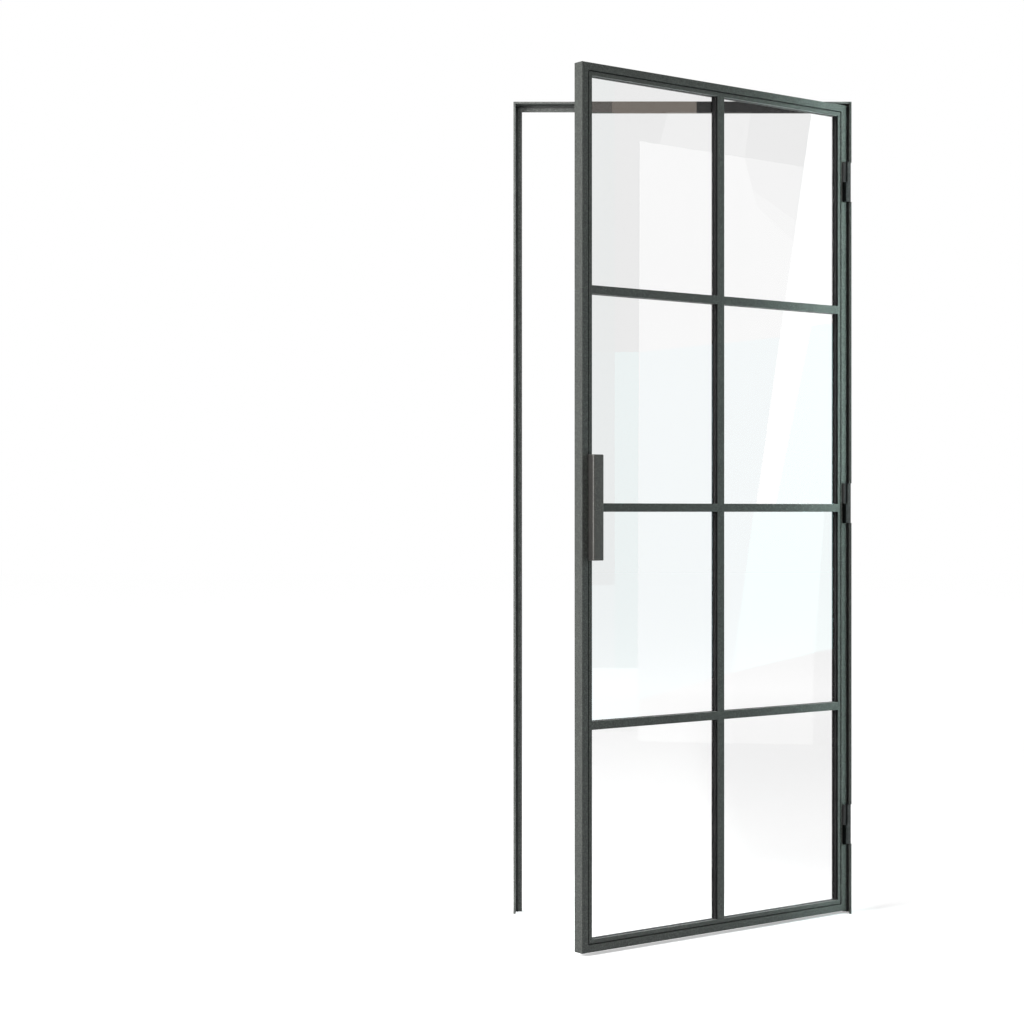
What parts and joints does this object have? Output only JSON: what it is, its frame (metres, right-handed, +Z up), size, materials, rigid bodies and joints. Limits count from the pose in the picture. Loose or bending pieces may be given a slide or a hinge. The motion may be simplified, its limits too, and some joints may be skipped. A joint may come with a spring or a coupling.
{
  "type": "glazed hinged door",
  "caption": "Steel door leaf divided into tall panes by slim glazing bars, with a bent pull on each face, hung on side hinges in a narrow rebated steel frame.",
  "frame": {"origin": "on the floor, at the foot of the hinge jamb, in the middle of its wall leg", "axes": "+X along the wall from the lock side towards the hinge side, +Y from the front, where the leaf swings out, to the back, +Z up"},
  "size_m": [0.87, 0.5698, 2.09],
  "materials": {
    "leaf_coating": "fine structured matt powder coat",
    "frame_coating": "fine structured matt powder coat",
    "pull_coating": "fine structured matt powder coat",
    "hinge_coating": "matt powder coat",
    "clear_glass": "clear flat glass",
    "gasket_rubber": "matt black glazing rubber",
    "seal_rubber": "matt black seal",
    "pin_steel": "turned steel",
    "washer_plastic": "matt black",
    "screw_steel": "black coated",
    "magnet_metal": "ground pole face"
  },
  "bodies": {
    "frame": {"head_bar": "frame_coating", "hinge_frame_half_bottom": "hinge_coating", "hinge_frame_half_middle": "hinge_coating", "hinge_frame_half_top": "hinge_coating", "hinge_pin_bottom": "pin_steel", "hinge_pin_middle": "pin_steel", "hinge_pin_top": "pin_steel", "hinge_washer_bottom": "washer_plastic", "hinge_washer_middle": "washer_plastic", "hinge_washer_top": "washer_plastic", "jamb_hinge_side": "frame_coating", "jamb_lock_side": "frame_coating", "seal_head": "seal_rubber", "seal_hinge_jamb": "seal_rubber", "seal_lock_jamb": "seal_rubber"},
    "leaf": {"back_bead_bottom": "leaf_coating", "back_bead_hinge": "leaf_coating", "back_bead_lock": "leaf_coating", "back_bead_top": "leaf_coating", "back_muntin_cross_1": "leaf_coating", "back_muntin_cross_2": "leaf_coating", "back_muntin_cross_3": "leaf_coating", "back_muntin_upright": "leaf_coating", "bead_screws": "screw_steel", "front_bead_bottom": "leaf_coating", "front_bead_hinge": "leaf_coating", "front_bead_lock": "leaf_coating", "front_bead_top": "leaf_coating", "front_muntin_cross_1": "leaf_coating", "front_muntin_cross_2": "leaf_coating", "front_muntin_cross_3": "leaf_coating", "front_muntin_upright": "leaf_coating", "gasket_hinge_1": "gasket_rubber", "gasket_hinge_2": "gasket_rubber", "gasket_hinge_3": "gasket_rubber", "gasket_hinge_4": "gasket_rubber", "gasket_lock_1": "gasket_rubber", "gasket_lock_2": "gasket_rubber", "gasket_lock_3": "gasket_rubber", "gasket_lock_4": "gasket_rubber", "hinge_leaf_half_bottom": "hinge_coating", "hinge_leaf_half_middle": "hinge_coating", "hinge_leaf_half_top": "hinge_coating", "magnet_catch": "magnet_metal", "pane_hinge_1": "clear_glass", "pane_hinge_2": "clear_glass", "pane_hinge_3": "clear_glass", "pane_hinge_4": "clear_glass", "pane_lock_1": "clear_glass", "pane_lock_2": "clear_glass", "pane_lock_3": "clear_glass", "pane_lock_4": "clear_glass", "pull_back": "pull_coating", "pull_front": "pull_coating", "rail_bottom": "leaf_coating", "rail_top": "leaf_coating", "stile_hinge": "leaf_coating", "stile_lock": "leaf_coating"}
  },
  "joints": [
    {"name": "leaf_hinge", "type": "hinge", "parent": "frame", "child": "leaf", "pos_m": [-0.0163, -0.0245, 1.057], "axis": [0, 0, 1], "range_deg": [-38.7, 131.3]}
  ]
}
